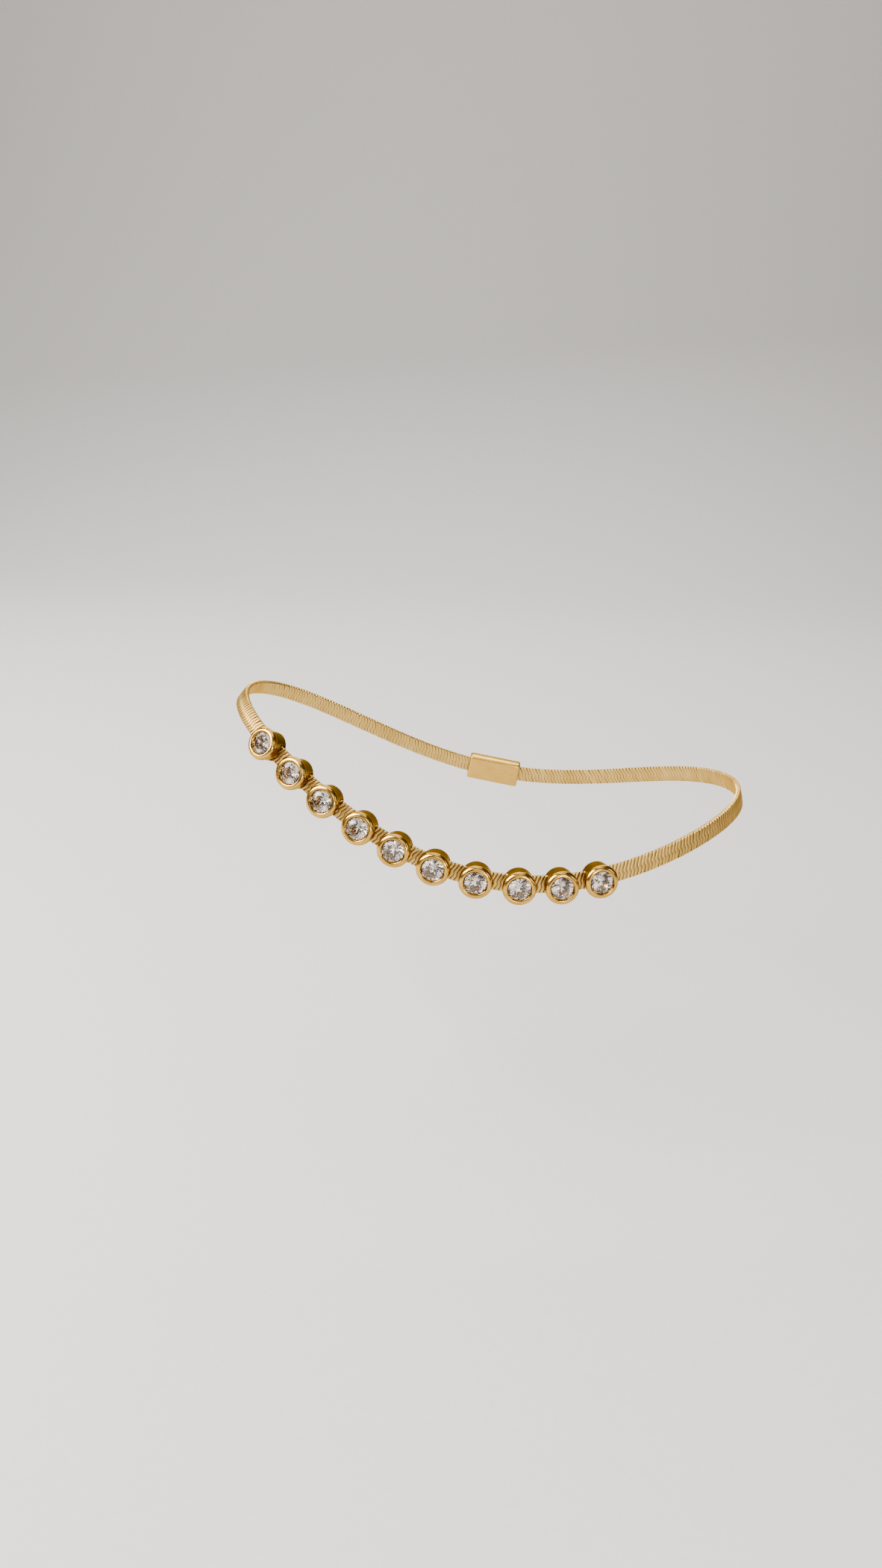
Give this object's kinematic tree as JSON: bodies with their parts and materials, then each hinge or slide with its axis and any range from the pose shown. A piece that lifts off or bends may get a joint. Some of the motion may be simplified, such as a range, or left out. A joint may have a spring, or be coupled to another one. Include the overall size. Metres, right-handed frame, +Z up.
{
  "type": "charm anklet",
  "caption": "Flat snake-chain anklet in gold plate, closed by a plain clasp, with a row of round bezel-set clear crystals threaded on the band as sliders.",
  "frame": {"origin": "centre of the ankle opening, level with the band at both sides", "axes": "+X towards the heel end of the loop, -X to the instep, -Y to the near side with the sliders, +Z up the leg"},
  "size_m": [0.097, 0.0619, 0.0287],
  "materials": {
    "satin_gold_plate": "satin gold plate over brass, fine links",
    "polished_gold_plate": "polished gold plate over brass",
    "clear_crystal": "clear faceted crystal, foiled behind"
  },
  "bodies": {
    "root": {"snake_band": "satin_gold_plate", "bezel_01": "polished_gold_plate", "bezel_02": "polished_gold_plate", "bezel_03": "polished_gold_plate", "bezel_04": "polished_gold_plate", "bezel_05": "polished_gold_plate", "bezel_06": "polished_gold_plate", "bezel_07": "polished_gold_plate", "bezel_08": "polished_gold_plate", "bezel_09": "polished_gold_plate", "bezel_10": "polished_gold_plate", "stone_01": "clear_crystal", "stone_02": "clear_crystal", "stone_03": "clear_crystal", "stone_04": "clear_crystal", "stone_05": "clear_crystal", "stone_06": "clear_crystal", "stone_07": "clear_crystal", "stone_08": "clear_crystal", "stone_09": "clear_crystal", "stone_10": "clear_crystal", "clasp": "polished_gold_plate"}
  },
  "joints": []
}
